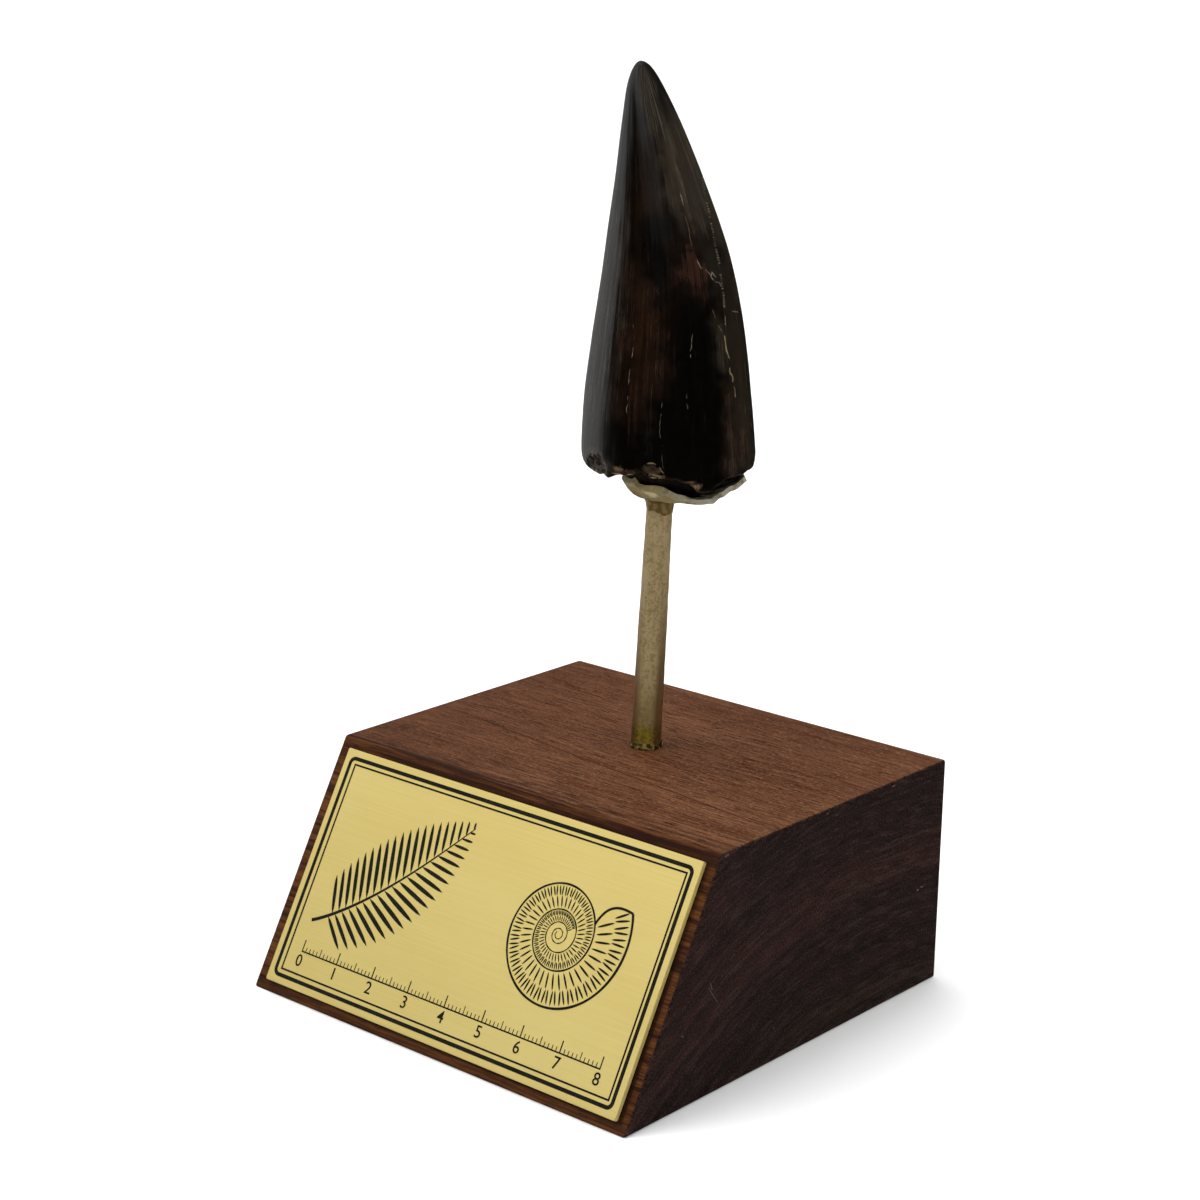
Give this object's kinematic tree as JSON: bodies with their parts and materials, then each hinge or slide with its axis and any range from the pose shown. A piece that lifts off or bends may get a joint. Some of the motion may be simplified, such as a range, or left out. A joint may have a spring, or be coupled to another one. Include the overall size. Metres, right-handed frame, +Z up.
{
  "type": "fossil tooth on stand",
  "caption": "Fossil tyrannosaur tooth standing point up on a metal rod, with a cast cradle and a sloping hardwood block that carries a brass plate.",
  "frame": {"origin": "middle of the block's underside", "axes": "+X to the right along the plate, -Y out of the front towards a person reading the plate, +Z up"},
  "size_m": [0.1, 0.1, 0.1863],
  "materials": {
    "hardwood": "satin oiled dark red-brown hardwood with fine straight grain",
    "brushed_brass": "fine-brushed brass with black filled lines",
    "dull_bronze": "dull, scuffed bronze-coloured metal",
    "pale_cast": "rough pale cast metal",
    "black_putty": "matt black putty",
    "fossil_enamel": "glossy brown-black fossil enamel with fine cracks",
    "amber_glue": "glossy amber glue"
  },
  "bodies": {
    "root": {"wood_base": "hardwood", "name_plate": "brushed_brass", "support_rod": "dull_bronze", "tooth_cradle": "pale_cast", "putty_bed": "black_putty", "tooth": "fossil_enamel", "glue_collar": "amber_glue", "glue_fillet": "amber_glue"}
  },
  "joints": []
}
